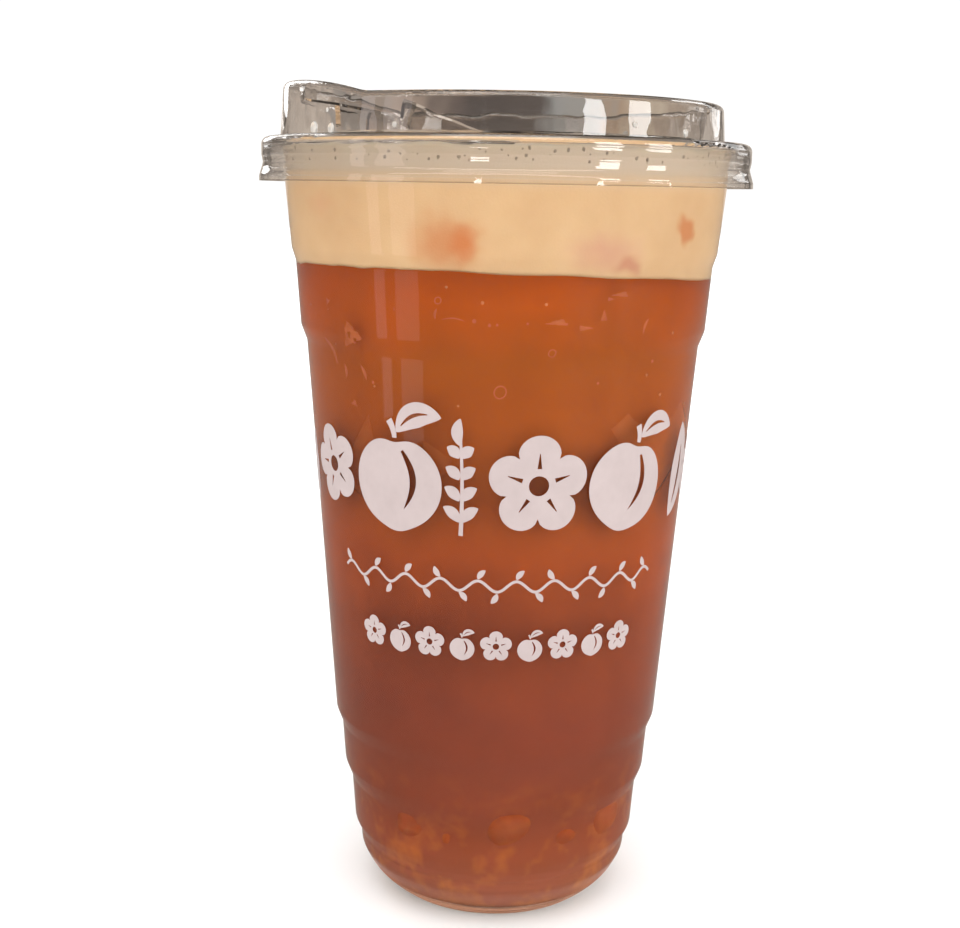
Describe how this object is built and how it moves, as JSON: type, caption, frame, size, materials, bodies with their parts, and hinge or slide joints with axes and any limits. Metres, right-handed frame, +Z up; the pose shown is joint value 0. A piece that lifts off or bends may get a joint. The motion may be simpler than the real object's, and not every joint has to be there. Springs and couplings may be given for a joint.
{
  "type": "peach tea in a lidded cup",
  "caption": "Tall clear takeaway cup of peach tea under a layer of cream, closed by a clear sip lid with a raised spout, a ring and a dish",
  "frame": {"origin": "centre of the foot, on the surface the cup stands on", "axes": "+Z up, -X towards the spout of the lid, -Y towards the printed front"},
  "size_m": [0.099, 0.099, 0.1677],
  "materials": {
    "cup_plastic": null,
    "lid_plastic": "clear, slightly smoky formed sheet, glossy",
    "tea": "cloudy amber tea, with ice, bubbles and diced peach in it",
    "cream": "soft cream foam, tan with a few peach-coloured blotches"
  },
  "bodies": {
    "root": {"cup": "cup_plastic", "lid": "lid_plastic", "tea": "tea", "cream": "cream"}
  },
  "joints": []
}
